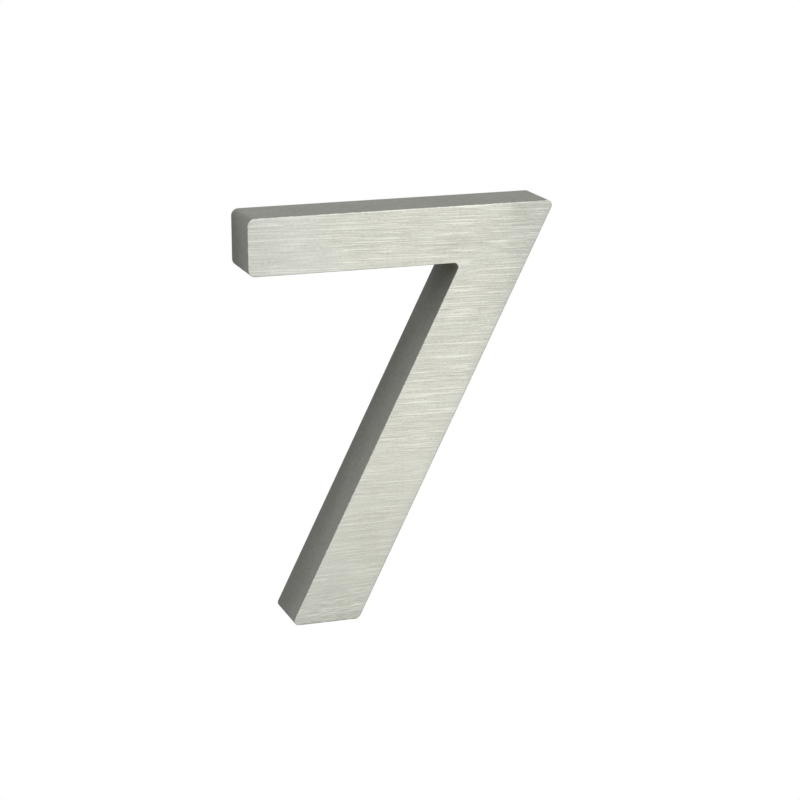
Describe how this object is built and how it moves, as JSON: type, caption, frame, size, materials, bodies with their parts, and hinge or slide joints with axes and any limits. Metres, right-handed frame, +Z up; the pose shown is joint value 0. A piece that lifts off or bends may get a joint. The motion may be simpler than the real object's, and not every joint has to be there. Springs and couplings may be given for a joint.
{
  "type": "house number",
  "caption": "Solid metal numeral seven for a house front, with a brushed face, matte sides and tapped stud holes in its flat back.",
  "frame": {"origin": "on the back face, at the middle of the figure's height and width", "axes": "+Z up the figure, +X to the right as it is read, +Y out of the back into the wall, so the front faces -Y"},
  "size_m": [0.0753, 0.015, 0.1],
  "materials": {
    "numeral": "hairline brushed front, satin matte sides and back"
  },
  "bodies": {
    "root": {"numeral": "numeral"}
  },
  "joints": []
}
